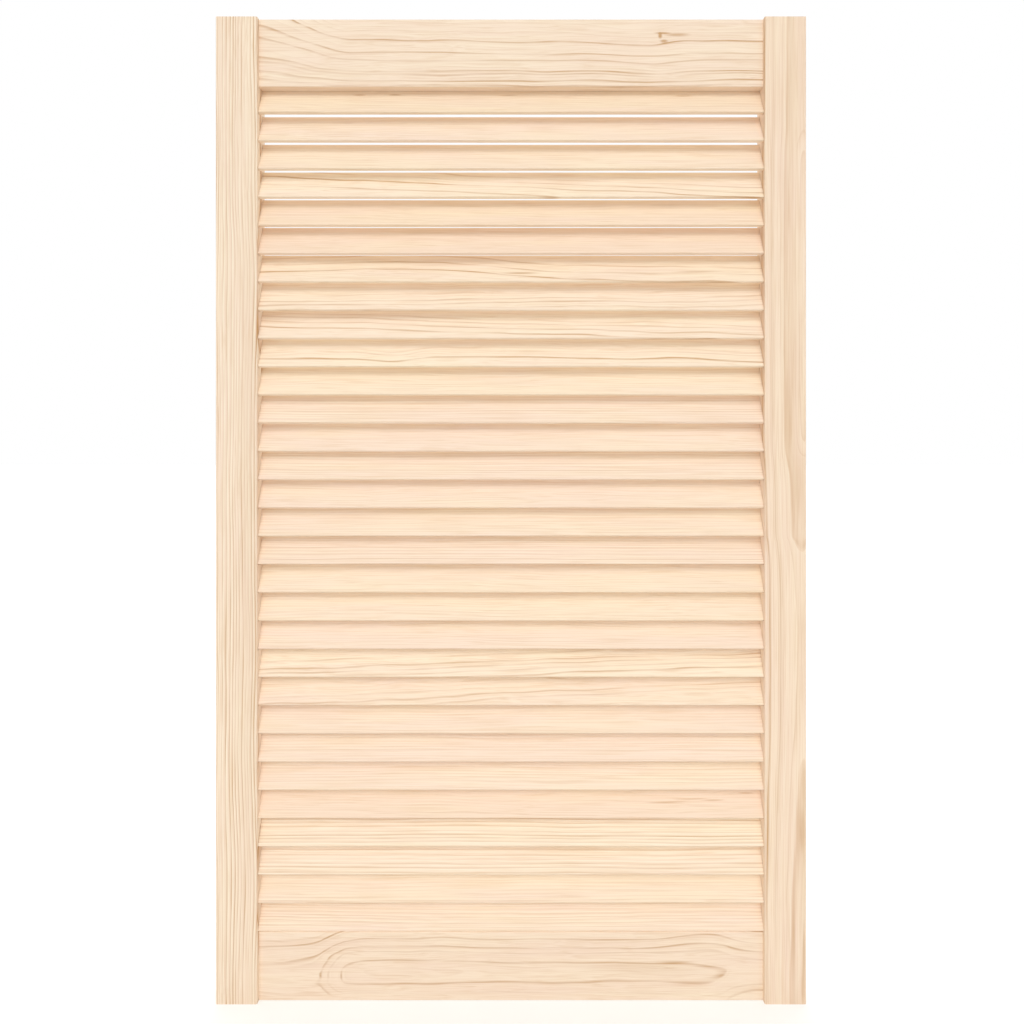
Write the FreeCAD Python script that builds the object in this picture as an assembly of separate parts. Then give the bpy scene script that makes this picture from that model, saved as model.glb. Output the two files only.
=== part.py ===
import FreeCAD, Part
import math
import os

# A louvred door leaf in solid pine: two stiles, two rails and a field of fixed slats.
# Millimetres. +X runs across the front from left to right, +Y to the back, +Z up.
# The origin is the centre of the left stile's outer edge, the face that takes the hinges.

# Leaf
door_height = 993.0
door_width = 594.0
door_thickness = 21.0

# Frame
stile_width = 41.8
top_rail_width = 68.0
bottom_rail_width = 69.3
rail_thickness = 12.0
stile_arris = 1.2
rail_arris = 0.6

# Tenons on the rails
tenon_length = 24.0
tenon_thickness = 5.0
tenon_shoulder = 10.0

# Slats
slat_tilt = 66.0
slat_thickness = 3.8
slat_setback = 2.1
slat_arris = 0.9
slat_air_gap = 7.5
slat_housing = 9.0
top_slat_housing = 3.1
field_clearance = 1.0

# Fit of a tenon, and of a slat's end, in its mortise, and the looser fit round a slat
mortise_clearance = 0.1
slat_clearance = 0.35

# Places that follow from the sizes above
door_top = door_height / 2
door_bottom = -door_height / 2
opening_left = stile_width
opening_right = door_width - stile_width
field_top = door_top - top_rail_width
field_bottom = door_bottom + bottom_rail_width

# The slats fill the thickness of the stiles, less the setback on both faces.
tilt = math.radians(slat_tilt)
slat_depth = door_thickness - 2 * slat_setback
slat_width = (slat_depth - slat_thickness * math.sin(tilt)) / math.cos(tilt)
slat_rise = slat_width * math.sin(tilt) + slat_thickness * math.cos(tilt)

# As many slats as fit with at least the air gap between them, spread evenly over the field.
# The first one runs up into the top rail, and the last one stays clear of the bottom rail.
least_pitch = (slat_thickness + slat_air_gap) / math.cos(tilt)
first_slat_top = field_top + top_slat_housing
pitch_room = first_slat_top - field_bottom - field_clearance - slat_rise
slat_count = int(pitch_room / least_pitch) + 1
slat_pitch = pitch_room / (slat_count - 1)


def slat_centre(index):
    """Height of a slat's middle, counted down from the top rail."""
    return first_slat_top - slat_rise / 2 - slat_pitch * index


def slat_prism(left, right, height, growth=0.0):
    """A square-edged slat, or the mortise round it, run from left to right.

    The slat leans back from its lower edge, which is to the front.
    """
    along = FreeCAD.Vector(0, math.cos(tilt), math.sin(tilt)) * (slat_width / 2 + growth)
    out = FreeCAD.Vector(0, -math.sin(tilt), math.cos(tilt)) * (slat_thickness / 2 + growth)
    middle = FreeCAD.Vector(left, 0, height)
    corners = [middle + along + out, middle - along + out, middle - along - out, middle + along - out]
    section = Part.Face(Part.makePolygon(corners + corners[:1]))
    return section.extrude(FreeCAD.Vector(right - left, 0, 0))


def block(left, right, depth, bottom, top):
    """A square board, centred in the thickness of the leaf."""
    corner = FreeCAD.Vector(left, -depth / 2, bottom)
    return Part.makeBox(right - left, depth, top - bottom, corner)


def ease_edges(board, axis, radius, beyond=0.0):
    """Round the long arrises that run along one axis, beyond a distance from mid-thickness."""
    chosen = []
    for edge in board.Edges:
        run = edge.Vertexes[-1].Point - edge.Vertexes[0].Point
        is_long = run.cross(axis).Length < 0.001 * run.Length
        if is_long and abs(edge.CenterOfMass.y) > beyond:
            chosen.append(edge)
    return board.makeFillet(radius, chosen)


def tenon(left, right, bottom, top, growth=0.0):
    """A rail's tenon, or the mortise for it, set in from the rail's edges."""
    return block(
        left,
        right,
        tenon_thickness + 2 * growth,
        bottom + tenon_shoulder - growth,
        top - tenon_shoulder + growth,
    )


def rail(bottom, top):
    """A rail whose shoulders meet the stiles, with a tenon on each end."""
    body = block(opening_left, opening_right, rail_thickness, bottom, top)
    body = ease_edges(body, FreeCAD.Vector(1, 0, 0), rail_arris)
    tongue = tenon(opening_left - tenon_length, opening_right + tenon_length, bottom, top)
    return body.fuse(tongue).removeSplitter()


def slat(index):
    """A slat with eased arrises, long enough to reach into both stiles."""
    board = slat_prism(opening_left - slat_housing, opening_right + slat_housing, slat_centre(index))
    return ease_edges(board, FreeCAD.Vector(1, 0, 0), slat_arris)


def slat_mortise(left, right, index):
    """The stopped mortise for a slat.

    Its two corners nearest the faces of the stile are rounded like the slat, where the wood is thin.
    """
    hole = slat_prism(left, right, slat_centre(index), slat_clearance)
    between_corners = (slat_depth - slat_thickness * math.sin(tilt)) / 2
    radius = slat_arris + slat_clearance
    return ease_edges(hole, FreeCAD.Vector(1, 0, 0), radius, between_corners)


def stile(left, inner_face, inward):
    """A stile with slanted stopped mortises for the slats and one for each rail."""
    board = block(left, left + stile_width, door_thickness, door_bottom, door_top)
    board = ease_edges(board, FreeCAD.Vector(0, 0, 1), stile_arris)
    slat_floor = inner_face - inward * (slat_housing + mortise_clearance)
    tenon_floor = inner_face - inward * (tenon_length + mortise_clearance)
    mouth = inner_face + inward * mortise_clearance
    cuts = []
    slat_ends = sorted((slat_floor, mouth))
    for index in range(slat_count):
        cuts.append(slat_mortise(slat_ends[0], slat_ends[1], index))
    tenon_ends = sorted((tenon_floor, mouth))
    for bottom, top in ((door_bottom, field_bottom), (field_top, door_top)):
        cuts.append(tenon(tenon_ends[0], tenon_ends[1], bottom, top, mortise_clearance))
    return board.cut(Part.makeCompound(cuts))


def save(name, shape):
    """Write one piece of the leaf."""
    solid = shape.Solids[0]
    solid.exportStep("parts/" + name + ".step")


os.makedirs("parts", exist_ok=True)

save("left_stile", stile(0.0, opening_left, 1))
save("right_stile", stile(opening_right, opening_right, -1))
first_slat_groove = slat_prism(0.0, door_width, slat_centre(0), mortise_clearance)
save("top_rail", rail(field_top, door_top).cut(first_slat_groove))
save("bottom_rail", rail(door_bottom, field_bottom))

for index in range(slat_count):
    save("slat_%02d" % (index + 1), slat(index))

print("slats", slat_count, "pitch", round(slat_pitch, 3), "width", round(slat_width, 3))
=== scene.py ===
import math
import random

import bpy
from mathutils import Euler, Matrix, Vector


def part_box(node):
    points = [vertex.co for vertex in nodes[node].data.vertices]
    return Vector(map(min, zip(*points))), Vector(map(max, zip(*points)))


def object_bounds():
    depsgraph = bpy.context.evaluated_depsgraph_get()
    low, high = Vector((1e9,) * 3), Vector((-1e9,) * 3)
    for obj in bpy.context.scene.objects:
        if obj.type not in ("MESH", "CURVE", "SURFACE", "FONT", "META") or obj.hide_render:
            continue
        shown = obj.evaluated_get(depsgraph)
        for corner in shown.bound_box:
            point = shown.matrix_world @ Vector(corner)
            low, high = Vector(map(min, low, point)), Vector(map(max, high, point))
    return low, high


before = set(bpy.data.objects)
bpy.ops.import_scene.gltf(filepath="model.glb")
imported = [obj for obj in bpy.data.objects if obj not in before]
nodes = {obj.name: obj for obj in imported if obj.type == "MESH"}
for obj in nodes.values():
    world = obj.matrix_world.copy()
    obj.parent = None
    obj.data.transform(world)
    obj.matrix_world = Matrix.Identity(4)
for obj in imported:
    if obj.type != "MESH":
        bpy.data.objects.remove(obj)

cad_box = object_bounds()
low_corner, high_corner = cad_box
scene = bpy.context.scene

# Camera: square on to the leaf, a little above its middle, looking level along +Y.
# The lens is shifted down so that the whole leaf stays in the picture.
door_middle_x = (low_corner[0] + high_corner[0]) / 2
door_front_y = low_corner[1]
door_foot_z = low_corner[2]
camera_distance = 0.645
camera_right_of_middle = 0.00105
camera_height = 0.0803
nearest_seen = 0.01
sensor_width = 36.0
lens_length = 22.56
lens_shift_down = 0.0796

camera_data = bpy.data.cameras.new("camera")
camera_data.sensor_width = sensor_width
camera_data.lens = lens_length
camera_data.shift_y = -lens_shift_down
camera_data.clip_start = nearest_seen
camera = bpy.data.objects.new("camera", camera_data)
camera.location = (door_middle_x + camera_right_of_middle, door_front_y - camera_distance, camera_height)
camera.rotation_euler = (math.radians(90), 0, 0)
scene.collection.objects.link(camera)
scene.camera = camera
scene.view_settings.view_transform = "Standard"


def linear(hex_colour):
    """A linear colour from an sRGB hex string."""
    channels = []
    for start in (1, 3, 5):
        value = int(hex_colour[start:start + 2], 16) / 255
        channels.append(value / 12.92 if value <= 0.04045 else ((value + 0.055) / 1.055) ** 2.4)
    return (*channels, 1.0)


def add_node(tree, kind, inputs=None, **settings):
    """A new node. Each input takes a value, an output, or a node whose first output it takes."""
    node = tree.nodes.new(kind)
    for name, value in settings.items():
        setattr(node, name, value)
    for socket, value in (inputs or {}).items():
        if isinstance(value, bpy.types.Node):
            value = value.outputs[0]
        if isinstance(value, bpy.types.NodeSocket):
            tree.links.new(value, node.inputs[socket])
        else:
            node.inputs[socket].default_value = value
    return node


def empty_tree(owner):
    """The node tree of a new material or world, with nothing in it."""
    owner.use_nodes = True
    owner.node_tree.nodes.clear()
    return owner.node_tree


def set_greys(ramp, stops):
    """Give a colour ramp its stops, each a place and a grey. The first and the last lie at its ends."""
    (_, first), *between, (_, last) = stops
    elements = ramp.color_ramp.elements
    elements[0].color = (first, first, first, 1)
    elements[1].color = (last, last, last, 1)
    for where, grey in between:
        elements.new(where).color = (grey, grey, grey, 1)


def seen_by_camera(tree):
    """1 on a ray that makes the picture, also by reflection or through glass, and 0 on one that lights."""
    rays = add_node(tree, "ShaderNodeLightPath").outputs
    seen = add_node(tree, "ShaderNodeMath", {0: rays["Is Camera Ray"], 1: rays["Is Glossy Ray"]},
                    operation="MAXIMUM")
    return add_node(tree, "ShaderNodeMath", {0: seen, 1: rays["Is Transmission Ray"]}, operation="MAXIMUM")


# Pine, planed and sanded, left bare. Pale cream wood of the early year runs into a thin tan line of late
# wood, and the line ends sharply where the next year begins. The eye sees those lines, long fine fibres
# along the board, a slow drift between yellow and pink, and a dull, even sheen.
# The boards differ in their early wood, which has a yellow and a pink shade each.
slat_wood = (linear("#FBE5C9"), linear("#F9E0CB"))
pale_wood = (linear("#FDEACD"), linear("#FCE6CF"))
warm_wood = (linear("#FAE2C3"), linear("#F8DDC5"))
frame_wood = (linear("#FDE8CF"), linear("#FAE1CB"))
tan_wood = (linear("#FBE4C9"), linear("#F8DDC6"))
spring_wood = linear("#FFEFD8")
late_wood = linear("#C99A68")
end_wood = linear("#DDB98F")
fibre_shade = linear("#E2BE96")
early_wood_roughness = 0.68
late_wood_roughness = 0.56
wood_ior = 1.53

# Real sizes of the pattern, in millimetres: along the board, through it and across it.
wander_size = (260.0, 50.0, 50.0)
wobble_size = (75.0, 14.0, 14.0)
fade_size = (90.0, 6.0, 6.0)
drift_size = (150.0, 14.0, 14.0)
# Fibres of softwood are about 0.03 mm wide. They are drawn 0.9 mm wide so that they show at all.
fibre_size = (70.0, 0.9, 0.9)

# The noise levels between which a pattern comes in. A board's own pink is taken off those of the drift.
fade_levels = (0.32, 0.62)
drift_levels = (0.7, 1.1)
fibre_levels = (0.45, 0.75)
fibre_strength = 0.5

# One year, from its start to its end: how far through it, and how much late wood there is.
year_greys = ((0.0, 0.0), (0.5, 0.06), (0.78, 0.45), (0.9, 1.0), (0.96, 0.7), (1.0, 0.05))
spring_ends = (0.05, 0.5)
weakest_year = 0.2
# Wide years and narrow ones come in runs of about three.
years_in_a_run = 3

# A listed line, in millimetres: its slow rise, its darkest part and its sharp end. A wider one comes up
# to its shoulder first. A margin keeps the lines clear of the ends of their ramp.
line_rise = 1.7
line_full = 0.4
line_fall = 0.6
line_shoulder = 0.6
line_margin = 1.0

# A streak of resin: how deep it goes, in millimetres, and how much of its size is the core.
streak_depth = 10.0
streak_core = 0.2

# End grain shows where the surface faces along the fibres.
end_grain_facing = (0.6, 0.95)
end_grain_strength = 0.7

# Relief of the sanded grain: its height in metres, how strong it is, and the fibres' share of it.
grain_relief = 0.00006
relief_strength = 0.5
fibre_relief = 0.5

# Which way through a noise the seed of a board moves it.
seed_way = (1.0, 0.37, 0.71)


def noise_steps(place, size, seed):
    """Inputs that turn millimetres on a board into the steps of a noise of that size."""
    return {0: place, 1: tuple(1 / length for length in size), 2: tuple(seed * way for way in seed_way)}


def pine(name, turn, middle, half_thickness, seed, across, depth, ring, line, faint=0.15, lean=0.0,
         wave=3.0, wobble=2.0, dives=(), bends=(), lines=(), streaks=(), pink=0.4, wood=slat_wood):
    """Pine for one board, with its year rings round a pith that lies across and depth mm from its middle.

    turn lays the board's length on the first axis, its thickness on the second and its width on the third.
    ring is the width of a year and line the strength of its dark edge, where the years fall by chance.
    faint is what is left of a line where it fades.
    lean is the slope of the rings along the board, and wave and wobble, in mm, say how far they stray.
    dives take the pith away from the face: points along the board and how far away it is there.
    bends push the rings sideways: middle, run before, run after, push and push per mm across.
    lines are years given one by one: where each meets the front face, in mm across it, its strength, and how
    wide its late wood is where that isn't the usual width.
    streaks are resin: along, across, half length, half width and strength. One below zero is clear wood,
    where the lines fade.
    pink is how far the early wood tends from the first colour in wood to the second.
    """
    material = bpy.data.materials.new(name)
    tree = empty_tree(material)
    spin = Euler(turn)
    shift = -(spin.to_matrix() @ (middle * 1000))
    place = add_node(tree, "ShaderNodeTexCoord")
    board = add_node(tree, "ShaderNodeMapping", {
        "Vector": place.outputs["Object"],
        "Location": shift,
        "Rotation": spin,
        "Scale": (1000, 1000, 1000),
    }).outputs[0]

    # The log's slow wander and its finer wobble move the rings sideways.
    steps = add_node(tree, "ShaderNodeVectorMath", noise_steps(board, wander_size, seed),
                     operation="MULTIPLY_ADD")
    wander = add_node(tree, "ShaderNodeTexNoise", {"Vector": steps, "Scale": 1.0, "Detail": 1.0},
                      normalize=False)
    moved = add_node(tree, "ShaderNodeVectorMath", {
        0: wander.outputs["Color"], 1: (0, wave, wave), 2: board}, operation="MULTIPLY_ADD")
    steps = add_node(tree, "ShaderNodeVectorMath", noise_steps(board, wobble_size, seed + 5),
                     operation="MULTIPLY_ADD")
    shiver = add_node(tree, "ShaderNodeTexNoise", {"Vector": steps, "Scale": 1.0, "Detail": 1.0},
                      normalize=False)
    moved = add_node(tree, "ShaderNodeVectorMath", {
        0: shiver.outputs["Color"], 1: (0, wobble, wobble), 2: moved}, operation="MULTIPLY_ADD")
    along_through_across = add_node(tree, "ShaderNodeSeparateXYZ", {0: moved}).outputs
    length, under, offset = along_through_across

    # Distance from the pith, which leans, is pushed aside by bends and dives away from the face.
    offset = add_node(tree, "ShaderNodeMath", {0: length, 1: -lean, 2: offset}, operation="MULTIPLY_ADD")
    stretch = 1.0
    for bend_middle, run_before, run_after, push, push_per_mm in bends:
        before = add_node(tree, "ShaderNodeMapRange", {
            "Value": length, "From Min": bend_middle - run_before, "From Max": bend_middle},
            interpolation_type="SMOOTHSTEP")
        after = add_node(tree, "ShaderNodeMapRange", {
            "Value": length, "From Min": bend_middle, "From Max": bend_middle + run_after,
            "To Min": 1.0, "To Max": 0.0}, interpolation_type="SMOOTHSTEP")
        bump = add_node(tree, "ShaderNodeMath", {0: before, 1: after}, operation="MULTIPLY")
        offset = add_node(tree, "ShaderNodeMath", {0: bump, 1: -push, 2: offset}, operation="MULTIPLY_ADD")
        stretch = add_node(tree, "ShaderNodeMath", {0: bump, 1: push_per_mm, 2: stretch},
                           operation="MULTIPLY_ADD")
    if bends:
        offset = add_node(tree, "ShaderNodeMath", {0: offset, 1: stretch}, operation="DIVIDE")
    if dives:
        deepest = max(away for along, away in dives)
        first, last = dives[0][0], dives[-1][0]
        run = add_node(tree, "ShaderNodeMapRange", {"Value": length, "From Min": first, "From Max": last})
        dive = add_node(tree, "ShaderNodeFloatCurve", {"Value": run})
        points = dive.mapping.curves[0].points
        points[0].location = (0.0, dives[0][1] / deepest)
        points[1].location = (1.0, dives[-1][1] / deepest)
        for along, away in dives[1:-1]:
            points.new((along - first) / (last - first), away / deepest)
        dive.mapping.update()
        under = add_node(tree, "ShaderNodeMath", {0: dive, 1: deepest, 2: under}, operation="MULTIPLY_ADD")
    arm = add_node(tree, "ShaderNodeCombineXYZ", {0: 0.0, 1: under, 2: offset})
    arm = add_node(tree, "ShaderNodeVectorMath", {0: arm, 1: (0, depth, across)}, operation="SUBTRACT")
    radius = add_node(tree, "ShaderNodeVectorMath", {0: arm}, operation="LENGTH").outputs["Value"]

    # Years of growth, wide and narrow, each with its own strength of line, which fades here and there.
    runs = add_node(tree, "ShaderNodeMath", {0: radius, 1: 1 / (years_in_a_run * ring), 2: seed},
                    operation="MULTIPLY_ADD")
    luck = add_node(tree, "ShaderNodeTexNoise", {"W": runs, "Scale": 1.0, "Detail": 0.0},
                    noise_dimensions="1D")
    year = add_node(tree, "ShaderNodeMath", {0: radius, 1: 1 / ring, 2: luck.outputs[0]},
                    operation="MULTIPLY_ADD")
    season = add_node(tree, "ShaderNodeMath", {0: year}, operation="FRACT")
    which = add_node(tree, "ShaderNodeMath", {0: year}, operation="FLOOR")
    which = add_node(tree, "ShaderNodeMath", {0: which, 1: seed}, operation="ADD")
    vigour = add_node(tree, "ShaderNodeTexWhiteNoise", {"W": which}, noise_dimensions="1D")
    vigour = add_node(tree, "ShaderNodeMapRange", {
        "Value": vigour.outputs["Value"], "To Min": weakest_year * line, "To Max": line})
    steps = add_node(tree, "ShaderNodeVectorMath", noise_steps(board, fade_size, seed + 9),
                     operation="MULTIPLY_ADD")
    fade = add_node(tree, "ShaderNodeTexNoise", {"Vector": steps, "Scale": 1.0, "Detail": 2.0})
    fade = add_node(tree, "ShaderNodeMapRange", {
        "Value": fade.outputs[0], "From Min": fade_levels[0], "From Max": fade_levels[1],
        "To Min": faint, "To Max": 1.0})
    vigour = add_node(tree, "ShaderNodeMath", {0: vigour, 1: fade}, operation="MULTIPLY")
    late = add_node(tree, "ShaderNodeValToRGB", {0: season})
    set_greys(late, year_greys)
    late = add_node(tree, "ShaderNodeMath", {0: late, 1: vigour}, operation="MULTIPLY")
    spring = add_node(tree, "ShaderNodeMapRange", {
        "Value": season, "From Min": spring_ends[0], "From Max": spring_ends[1],
        "To Min": 1.0, "To Max": 0.0})
    spring = add_node(tree, "ShaderNodeMath", {0: spring, 1: vigour}, operation="MULTIPLY")

    # Listed years rise slowly to their dark edge and end sharply.
    if lines:
        radii = sorted((math.hypot(at - across, half_thickness + depth), strength, *(rise or [line_rise]))
                       for at, strength, *rise in lines)
        nearest = min(distance - rise for distance, strength, rise in radii) - line_margin
        farthest = radii[-1][0] + line_fall + line_margin
        greys = [(nearest, 0), (farthest, 0)]
        for distance, strength, rise in radii:
            edges = [(-rise, 0), (-line_full, strength), (0, strength), (line_fall, 0)]
            if rise > line_rise:
                edges.append((-line_rise, line_shoulder * strength))
            greys += [(distance + edge, grey) for edge, grey in edges]
        greys = [((at - nearest) / (farthest - nearest), grey) for at, grey in sorted(greys)]
        reach = add_node(tree, "ShaderNodeMapRange", {
            "Value": radius, "From Min": nearest, "From Max": farthest})
        drawn = add_node(tree, "ShaderNodeValToRGB", {0: reach})
        set_greys(drawn, greys)
        drawn = add_node(tree, "ShaderNodeMath", {0: drawn, 1: fade}, operation="MULTIPLY")
        late = add_node(tree, "ShaderNodeMath", {0: late, 1: drawn}, operation="MAXIMUM")

    # Resin gathers in short streaks that lie along the grain.
    for along, up, half_length, half_width, strength in streaks:
        streak_scale = (1 / half_length, 1 / streak_depth, 1 / half_width)
        reach = add_node(tree, "ShaderNodeVectorMath", {0: moved, 1: (along, -half_thickness, up)},
                         operation="SUBTRACT")
        reach = add_node(tree, "ShaderNodeVectorMath", {0: reach, 1: streak_scale}, operation="MULTIPLY")
        reach = add_node(tree, "ShaderNodeVectorMath", {0: reach}, operation="LENGTH").outputs["Value"]
        streak = add_node(tree, "ShaderNodeMapRange", {
            "Value": reach, "From Min": streak_core, "From Max": 1.0, "To Min": strength, "To Max": 0.0},
            interpolation_type="SMOOTHSTEP")
        if strength > 0:
            late = add_node(tree, "ShaderNodeMath", {0: late, 1: streak}, operation="ADD")
        else:
            late = add_node(tree, "ShaderNodeMath", {0: late, 1: streak, 2: late}, operation="MULTIPLY_ADD")

    # Colour: early wood drifting between yellow and pink, fibres, late wood, and darker end grain.
    steps = add_node(tree, "ShaderNodeVectorMath", noise_steps(board, drift_size, seed + 13),
                     operation="MULTIPLY_ADD")
    drift = add_node(tree, "ShaderNodeTexNoise", {"Vector": steps, "Scale": 1.0, "Detail": 2.0})
    drift = add_node(tree, "ShaderNodeMapRange", {
        "Value": drift.outputs[0], "From Min": drift_levels[0] - pink, "From Max": drift_levels[1] - pink})
    steps = add_node(tree, "ShaderNodeVectorMath", noise_steps(moved, fibre_size, seed + 17),
                     operation="MULTIPLY_ADD")
    fibre = add_node(tree, "ShaderNodeTexNoise", {"Vector": steps, "Scale": 1.0, "Detail": 2.0}).outputs[0]
    dark_fibre = add_node(tree, "ShaderNodeMapRange", {
        "Value": fibre, "From Min": fibre_levels[0], "From Max": fibre_levels[1],
        "To Min": 0.0, "To Max": fibre_strength})
    grain_axis = spin.to_matrix().transposed() @ Vector((1, 0, 0))
    facing = add_node(tree, "ShaderNodeVectorMath", {0: place.outputs["Normal"], 1: grain_axis},
                      operation="DOT_PRODUCT").outputs["Value"]
    facing = add_node(tree, "ShaderNodeMath", {0: facing}, operation="ABSOLUTE")
    end_grain = add_node(tree, "ShaderNodeMapRange", {
        "Value": facing, "From Min": end_grain_facing[0], "From Max": end_grain_facing[1],
        "To Min": 0.0, "To Max": end_grain_strength})
    colour, pink_wood = wood
    for share, shade in ((drift, pink_wood), (spring, spring_wood), (dark_fibre, fibre_shade),
                         (late, late_wood), (end_grain, end_wood)):
        colour = add_node(tree, "ShaderNodeMix", {0: share, 6: colour, 7: shade}, data_type="RGBA").outputs[2]

    # Late wood is denser: it polishes a little more, and stands a hair proud of the rest.
    sheen = add_node(tree, "ShaderNodeMapRange", {
        "Value": late, "To Min": early_wood_roughness, "To Max": late_wood_roughness})
    height = add_node(tree, "ShaderNodeMath", {0: fibre, 1: fibre_relief, 2: late}, operation="MULTIPLY_ADD")
    relief = add_node(tree, "ShaderNodeBump", {
        "Height": height, "Distance": grain_relief, "Strength": relief_strength})
    surface = add_node(tree, "ShaderNodeBsdfPrincipled", {
        "Base Color": colour, "Roughness": sheen, "IOR": wood_ior, "Normal": relief})
    add_node(tree, "ShaderNodeOutputMaterial", {"Surface": surface})
    return material


# How the boards lie, and half their thickness in millimetres. The slats lean back from upright.
slat_lean = math.radians(24)
stile = dict(turn=(0.0, math.radians(90), 0.0), half_thickness=10.5)
rail = dict(turn=(0.0, 0.0, 0.0), half_thickness=6.0)
slat = dict(turn=(slat_lean, 0.0, 0.0), half_thickness=1.9)

# How each board was cut. Plain sawn boards have their pith behind the face and show arches, rift and quarter
# sawn ones have it off to one side and show straight lines.
boards = {
    "left_stile": dict(
        stile, seed=3.1, across=120, depth=20, ring=3.0, line=1.4, faint=0.3, wave=4.0, wobble=0.6,
        streaks=((200, 6, 360, 20, -0.6), (-340, 12, 200, 14, -0.35), (-40, -12, 520, 14, 0.12)),
        wood=frame_wood),
    "right_stile": dict(
        stile, seed=8.4, across=-18, depth=-10.5, ring=3.6, line=0.36, faint=0.5, wave=1.0, wobble=0.6,
        dives=((-496, 14.4), (-431, 15.8), (-386, 16.6), (-346, 17.7), (-300, 18.6), (-269, 19.4),
               (-200, 22), (-100, 22), (-50, 20.5), (-40, 19.3), (-32, 18.1), (-24, 16), (20, 14.4),
               (47, 10.9), (65, 6), (95, 3.4), (340, 3.4), (390, 9), (496, 10.9)),
        lines=((1.5, 0.48, 13), (14.2, 0.45), (22.6, 0.75)),
        streaks=((-520, 10, 230, 16, -0.9), (130, -10, 190, 14, 0.1), (-430, -13.5, 110, 6, -0.9),
                 (95, -2.5, 60, 5, 0.22), (-322, -17, 30, 4, 0.28), (-480, -17.5, 24, 3, 0.3),
                 (-330, 17.5, 75, 3, 0.25), (-425, -8.6, 95, 2.2, 0.22), (-445, -18.8, 40, 1.6, 0.4)),
        wood=tan_wood),
    "top_rail": dict(
        rail, seed=1.7, across=-120, depth=12, ring=5.0, line=0.25, wave=1.5,
        bends=((-271, 100, 110, 29.1, 0.744), (140, 90, 45, -3.8, -0.094)),
        lines=((12.6, 1.0), (0.5, 0.75), (-6.6, 0.65), (-18, 1.0), (-21.1, 0.65), (-27.6, 0.9), (-32, 0.75)),
        streaks=((-200, -20, 110, 30, -0.5), (168, 18.7, 17, 3.6, 0.6), (151, 17.4, 3, 5.5, 0.95),
                 (153.5, 20.6, 11, 1.8, 0.9), (155, 10.8, 5.5, 2.6, 0.8)),
        wood=frame_wood),
    "bottom_rail": dict(
        rail, seed=5.2, across=-6.5, depth=-6, ring=6.0, line=0.22, wave=1.5,
        dives=((-256, 29), (-225, 28.3), (-212, 28.1), (-203, 27.8), (-197, 27), (-190, 23.5), (-180, 17),
               (-173, 12.5), (-163, 7), (-116, 2), (5, 9.2), (96, 8.2), (174, 9.5), (200, 11), (212, 12.5),
               (217, 13.5), (226, 16), (256, 18)),
        bends=((-230, 300, 90, -9.5, 0), (200, 60, 50, 0, 0.25)),
        lines=((6.5, 0.7), (20.5, 0.75), (28.5, 0.7), (39.5, 0.85), (15.5, 0.3)),
        streaks=((0, -36, 900, 14, -1), (126, -2.6, 75, 11, 0.16), (165, 4, 26, 2.4, 0.4)),
        wood=frame_wood),
}

# Four kinds of slat: nearly plain, fine lines, strong lines, and long arches given one by one.
plain = dict(slat, across=-70, depth=25, ring=2.4, line=0.27, lean=-0.01, wobble=1.0)
fine = dict(slat, across=-90, depth=10, ring=2.8, line=0.55, faint=0.5, wave=2.0, wobble=0.5)
lined = dict(slat, across=120, depth=10, ring=4.2, line=1.15, faint=0.5, wave=1.5, wobble=0.5, wood=pale_wood)
arched = dict(slat, across=-200, depth=10, ring=4.0, line=0.22, wave=1.5, wood=pale_wood)
slat_count = 30
slat_cuts = {
    1: dict(plain, wood=warm_wood, streaks=((-155, 7.5, 9, 1.6, 0.5), (-119, 7.5, 9, 1.6, 0.5),
                                            (-4, 8, 15, 1.6, 0.4), (176, 8, 15, 1.8, 0.5))),
    4: dict(arched, lean=-0.054, lines=((-14, 0.7), (-3.3, 0.95), (3.3, 0.7), (10, 0.55))),
    5: dict(plain, wood=warm_wood),
    6: dict(plain, wood=warm_wood),
    7: dict(arched, wood=slat_wood, lean=-0.02, bends=((-86, 259, 158, 10, 0),),
            lines=((-12.5, 1.1), (-3, 0.75), (5, 0.7)),
            streaks=((170, -13, 130, 6, -0.8), (10, -5.5, 24, 2.2, 0.7), (190, -5, 32, 1.8, 0.5))),
    8: dict(arched, lean=0.015, lines=((-13.6, 0.45), (-7.8, 0.75), (-2.9, 0.65), (4.1, 0.45))),
    9: dict(arched, lean=-0.035, lines=((-10.8, 0.9), (-4, 0.65), (2, 0.55), (6.5, 0.45))),
    10: dict(arched, bends=((-121, 45, 45, -4.5, 0), (255, 80, 40, -5, 0)),
             lines=((-6.6, 0.9), (0.3, 0.3), (4, 0.3))),
    12: fine,
    14: fine,
    16: fine,
    17: dict(fine, line=0.8),
    21: dict(arched, lean=0.03, lines=((-14, 0.8), (-9, 0.4), (-4.2, 0.65), (-0.4, 0.65), (6, 0.5))),
    22: dict(arched, wood=slat_wood, lean=0.045, lines=((-10, 0.35), (-5, 0.6), (1, 0.2)),
             streaks=((46, 9, 16, 1.6, 0.35), (80, 5, 40, 5, 0.1))),
    23: dict(fine, line=0.4),
    24: dict(fine, line=0.4),
    25: dict(fine, line=0.45),
    26: dict(plain, wood=warm_wood, streaks=((157, -2, 26, 1.0, 0.5), (184, 0.4, 24, 1.0, 0.5),
                                             (206, -0.8, 16, 1.0, 0.5), (240, 5, 12, 0.9, 0.45))),
    27: dict(lined, ring=3.6),
    28: dict(lined, line=0.75),
    29: dict(fine, line=0.45),
    30: fine,
}
chance = random.Random(30)
for number in range(1, slat_count + 1):
    cut = slat_cuts.get(number, plain)
    boards["slat_%02d" % number] = dict(cut, seed=chance.uniform(20, 90), pink=chance.uniform(0.2, 0.6))

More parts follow.
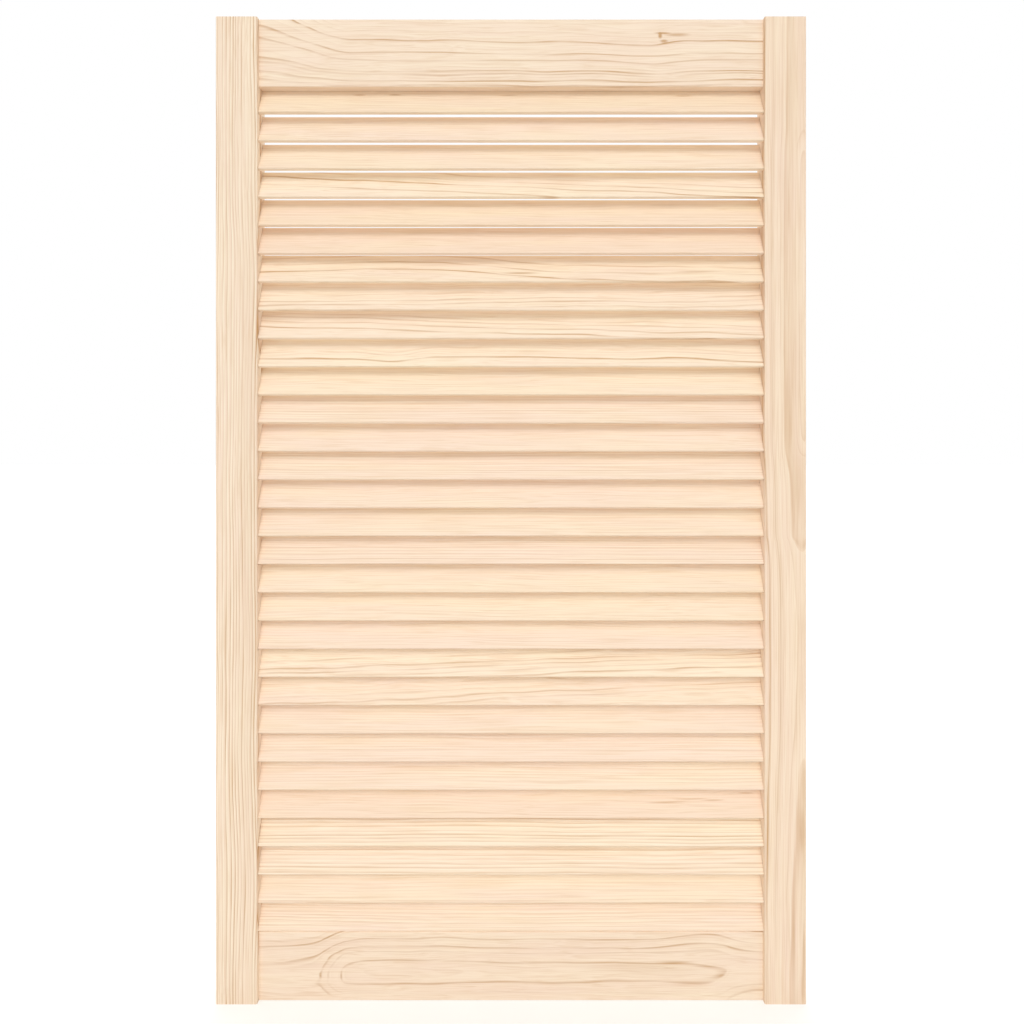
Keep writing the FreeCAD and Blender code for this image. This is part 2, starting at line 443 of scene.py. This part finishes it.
for name, cut in boards.items():
    low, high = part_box(name)
    board_middle = (Vector(low) + Vector(high)) / 2
    piece = nodes[name]
    piece.data.materials.clear()
    piece.data.materials.append(pine("bare_pine_" + name, middle=board_middle, **cut))

# Floor: a studio floor painted matt white with a roller. The eye sees an even white with faint roller marks.
# It shows the camera plain white, and keeps the leaf's shadow.
floor_paint = linear("#DBDAD8")
floor_paint_worn = linear("#D6D5D3")
floor_roughness = 0.9
floor_glow = 0.34
floor_half = 10.0
roller_mark_mm = 167.0
plain_white = (1, 1, 1, 1)

floor_material = bpy.data.materials.new("matt_white_floor_paint")
tree = empty_tree(floor_material)
place = add_node(tree, "ShaderNodeTexCoord")
roller = add_node(tree, "ShaderNodeTexNoise", {
    "Vector": place.outputs["Object"], "Scale": 1000 / roller_mark_mm, "Detail": 3.0})
paint = add_node(tree, "ShaderNodeMix", {0: roller, 6: floor_paint, 7: floor_paint_worn}, data_type="RGBA")
glow = add_node(tree, "ShaderNodeMath", {0: seen_by_camera(tree), 1: floor_glow}, operation="MULTIPLY")
matt = add_node(tree, "ShaderNodeBsdfPrincipled", {
    "Base Color": paint.outputs[2], "Roughness": floor_roughness,
    "Emission Color": plain_white, "Emission Strength": glow})
add_node(tree, "ShaderNodeOutputMaterial", {"Surface": matt})
floor_mesh = bpy.data.meshes.new("floor")
floor_mesh.from_pydata(
    [(-floor_half, -floor_half, 0), (floor_half, -floor_half, 0), (floor_half, floor_half, 0),
     (-floor_half, floor_half, 0)], [], [(0, 1, 2, 3)])
floor_mesh.materials.append(floor_material)
floor = bpy.data.objects.new("floor", floor_mesh)
floor.location = (door_middle_x, 0, door_foot_z)
scene.collection.objects.link(floor)

# Light: a broad soft lamp in front and above and a weak one low in front, in a white room whose wall behind
# the leaf is the brightest.
key_elevation = math.radians(41)
key_strength = 1.2
key_softness = math.radians(34)
key_light = linear("#FFFAF5")
low_fill_place = (door_middle_x, -0.95, -0.4)
low_fill_power = 0.5
low_fill_size = (1.2, 0.15)
room_front = 0.65
room_back = 1.38
room_brightens = (-0.2, 0.6)
room_light = linear("#F5FCFF")

key_data = bpy.data.lights.new("key", "SUN")
key_data.energy = key_strength
key_data.angle = key_softness
key_data.color = key_light[:3]
key = bpy.data.objects.new("key", key_data)
key.rotation_euler = (math.radians(90) - key_elevation, 0, 0)
scene.collection.objects.link(key)

low_fill_data = bpy.data.lights.new("low_fill", "AREA")
low_fill_data.energy = low_fill_power
low_fill_data.shape = "RECTANGLE"
low_fill_data.size, low_fill_data.size_y = low_fill_size
low_fill = bpy.data.objects.new("low_fill", low_fill_data)
low_fill.location = low_fill_place
low_fill.rotation_euler = (math.radians(90), 0, 0)
low_fill.visible_camera = False
scene.collection.objects.link(low_fill)

room = bpy.data.worlds.new("white_room")
tree = empty_tree(room)
seen = seen_by_camera(tree)
place = add_node(tree, "ShaderNodeTexCoord")
towards = add_node(tree, "ShaderNodeSeparateXYZ", {0: place.outputs["Generated"]})
wall = add_node(tree, "ShaderNodeMapRange", {
    "Value": towards.outputs["Y"], "From Min": room_brightens[0], "From Max": room_brightens[1],
    "To Min": room_front, "To Max": room_back}, interpolation_type="SMOOTHSTEP")
strength = add_node(tree, "ShaderNodeMix", {0: seen, 2: wall, 3: 1.0}).outputs[0]
tint = add_node(tree, "ShaderNodeMix", {0: seen, 6: room_light, 7: plain_white}, data_type="RGBA").outputs[2]
white = add_node(tree, "ShaderNodeBackground", {"Color": tint, "Strength": strength})
add_node(tree, "ShaderNodeOutputWorld", {"Surface": white})
scene.world = room
